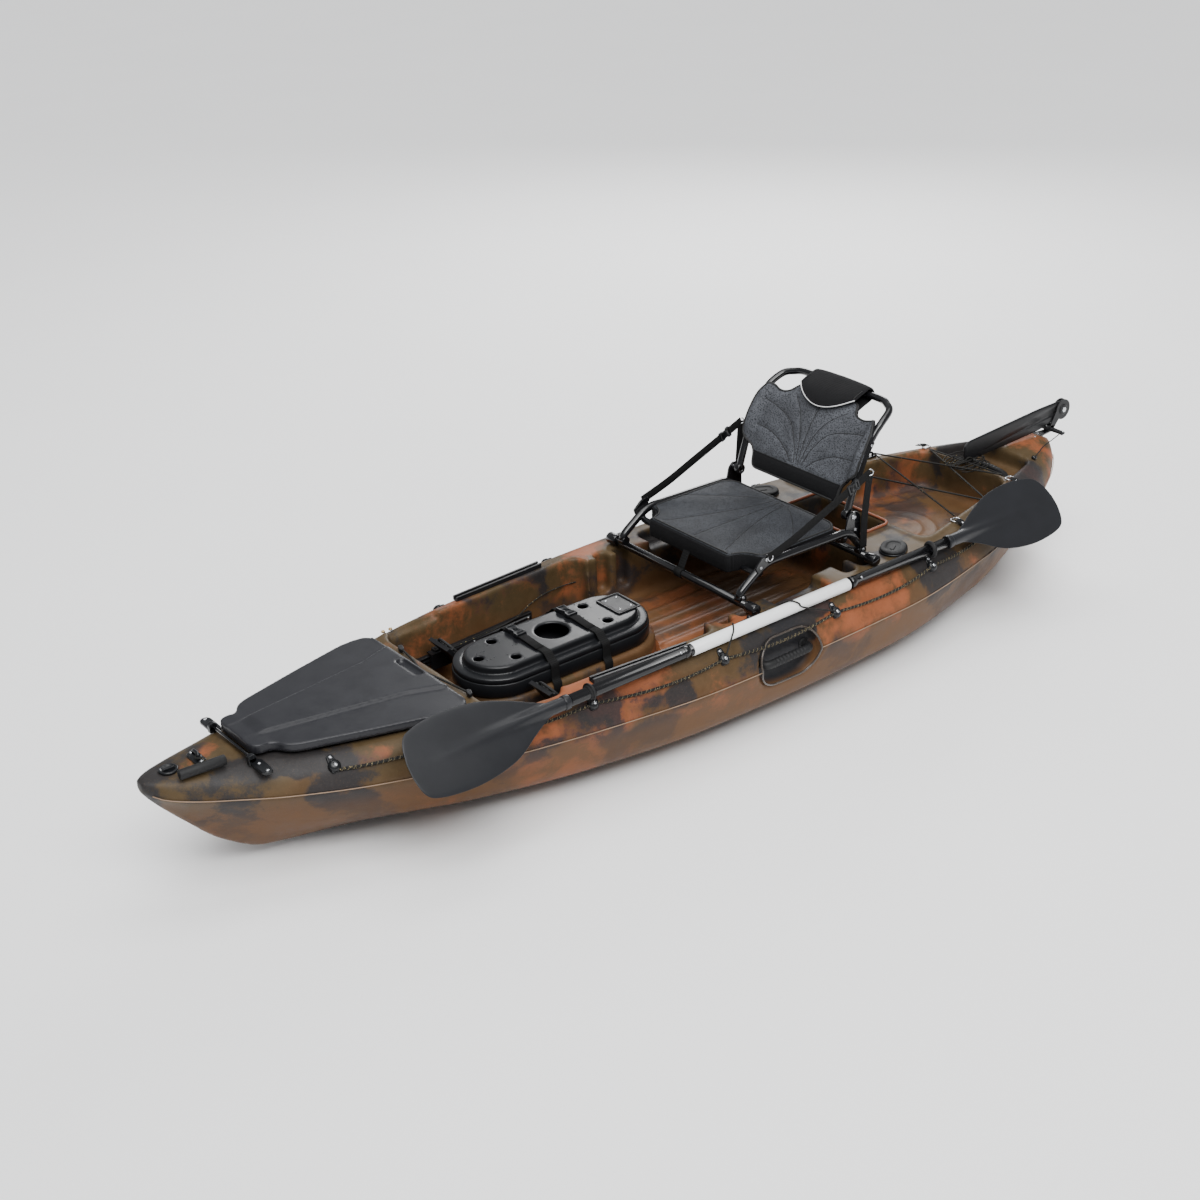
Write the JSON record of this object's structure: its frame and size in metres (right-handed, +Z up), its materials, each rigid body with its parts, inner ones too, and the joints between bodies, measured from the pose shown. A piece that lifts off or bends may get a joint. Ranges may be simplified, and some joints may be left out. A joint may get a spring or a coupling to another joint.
{
  "type": "sit-on-top fishing kayak",
  "caption": "Sit-on-top fishing kayak with moulded hull, framed folding seat, fore hatch, console pod, foot-steered flip-up rudder and double-bladed paddle.",
  "frame": {"origin": "on the flat of the hull's bottom, at the middle of the hull's length", "axes": "+X to the bow, +Y to port, +Z up"},
  "size_m": [3.1616, 0.8101, 0.7205],
  "materials": {
    "hull_plastic": "rotomoulded polyethylene, mottled orange, olive brown and charcoal",
    "charcoal_plastic": "fine moulded grain",
    "black_plastic": "satin",
    "paddle_plastic": "semi-gloss, dark grey",
    "white_plastic": "satin white",
    "rubber": "matt",
    "webbing": "woven nylon",
    "seat_mesh": "textured mesh cloth",
    "black_tube": "black anodised or powder coated",
    "steel": "stainless",
    "rope": "braided cord, black with a pale fleck"
  },
  "bodies": {
    "kayak_hull": {"bow_drain_plug": "black_plastic", "bow_hatch_gasket": "rubber", "bow_padeye": "black_plastic", "console_lid": "black_plastic", "console_plate": "black_plastic", "console_pod": "black_plastic", "console_strap_front": "webbing", "console_strap_rear": "webbing", "foot_rail_port": "black_plastic", "foot_rail_starboard": "black_plastic", "gear_track_port": "black_tube", "gear_track_starboard": "black_tube", "hatch_hinge_port": "black_plastic", "hatch_hinge_starboard": "black_plastic", "hatch_latch_cord": "rubber", "hull": "hull_plastic", "keel_skid_plate": "charcoal_plastic", "paddle_bungee": "rubber", "perimeter_line_port": "rope", "perimeter_line_starboard": "rope", "rod_holder_port": "black_plastic", "rod_holder_starboard": "black_plastic", "rudder_bracket": "black_tube", "scupper_plug_1": "rubber", "scupper_plug_2": "rubber", "scupper_plug_3": "rubber", "scupper_plug_4": "rubber", "scupper_plug_5": "rubber", "scupper_plug_6": "rubber", "seat_base_frame": "black_tube", "seat_cushion": "seat_mesh", "seat_front_bar": "black_tube", "seat_rear_bar": "black_tube", "seat_strap_port": "webbing", "seat_strap_starboard": "webbing", "side_handle_port": "rubber", "side_handle_starboard": "rubber", "tank_well_bungee": "rubber"},
    "bow_hatch": {"bow_hatch_lid": "charcoal_plastic", "hatch_hinge_rod": "steel"},
    "bow_toggle": {"bow_toggle": "rubber", "bow_toggle_cord": "rubber"},
    "pedal_port": {"foot_pedal_port": "black_plastic"},
    "pedal_starboard": {"foot_pedal_starboard": "black_plastic"},
    "seat_back": {"seat_back_frame": "black_tube", "seat_back_cushion": "seat_mesh", "seat_headrest": "webbing"},
    "rod_cap_port": {"rod_holder_cap_port": "rubber"},
    "rod_cap_starboard": {"rod_holder_cap_starboard": "rubber"},
    "stern_handle": {"stern_handle": "rubber"},
    "rudder_head": {"rudder_yoke": "black_plastic", "rudder_pivot_bolt": "steel"},
    "rudder_blade": {"rudder_blade": "black_plastic"},
    "paddle": {"paddle_shaft": "black_tube", "paddle_grip_sleeve": "white_plastic", "paddle_blade_front": "paddle_plastic", "paddle_blade_rear": "paddle_plastic", "drip_ring_front": "rubber", "drip_ring_rear": "rubber"}
  },
  "joints": [
    {"name": "bow_hatch_hinge", "type": "hinge", "parent": "kayak_hull", "child": "bow_hatch", "pos_m": [1.294, 0, 0.329], "axis": [0, 1, 0], "range_deg": [0, 100]},
    {"name": "bow_toggle_swing", "type": "hinge", "parent": "kayak_hull", "child": "bow_toggle", "pos_m": [1.39, 0, 0.336], "axis": [1, 0, 0], "range_deg": [0, 80]},
    {"name": "seat_back_fold", "type": "hinge", "parent": "kayak_hull", "child": "seat_back", "pos_m": [-0.45, 0, 0.434], "axis": [0, 1, 0], "range_deg": [-12, 104]},
    {"name": "rod_cap_port_hinge", "type": "hinge", "parent": "kayak_hull", "child": "rod_cap_port", "pos_m": [-0.62654, 0.23575, 0.31], "axis": [0.5, -0.866, 0], "range_deg": [0, 140]},
    {"name": "rod_cap_starboard_hinge", "type": "hinge", "parent": "kayak_hull", "child": "rod_cap_starboard", "pos_m": [-0.62654, -0.23575, 0.31], "axis": [-0.5, -0.866, 0], "range_deg": [0, 140]},
    {"name": "stern_handle_lift", "type": "hinge", "parent": "kayak_hull", "child": "stern_handle", "pos_m": [-1.238, 0, 0.273], "axis": [0, 1, 0], "range_deg": [0, 45]},
    {"name": "rudder_steer", "type": "hinge", "parent": "kayak_hull", "child": "rudder_head", "pos_m": [-1.545, 0, 0.325], "axis": [0, 0, 1], "range_deg": [-35, 35]},
    {"name": "rudder_deploy", "type": "hinge", "parent": "rudder_head", "child": "rudder_blade", "pos_m": [-1.605, 0, 0.372], "axis": [0, -1, 0], "range_deg": [0, 255]},
    {"name": "pedal_starboard_slide", "type": "slide", "parent": "kayak_hull", "child": "pedal_starboard", "axis": [1, 0, 0], "range_m": [-0.052, 0.052]},
    {"name": "pedal_port_slide", "type": "slide", "parent": "kayak_hull", "child": "pedal_port", "axis": [1, 0, 0], "range_m": [-0.052, 0.052]},
    {"name": "paddle_slide", "type": "slide", "parent": "kayak_hull", "child": "paddle", "axis": [1, 0, 0], "range_m": [-0.05, 0.05]}
  ],
  "couplings": [
    {"joint": "pedal_starboard_slide", "follows": "rudder_steer", "m_per_rad": 0.083},
    {"joint": "pedal_port_slide", "follows": "rudder_steer", "m_per_rad": -0.083}
  ]
}
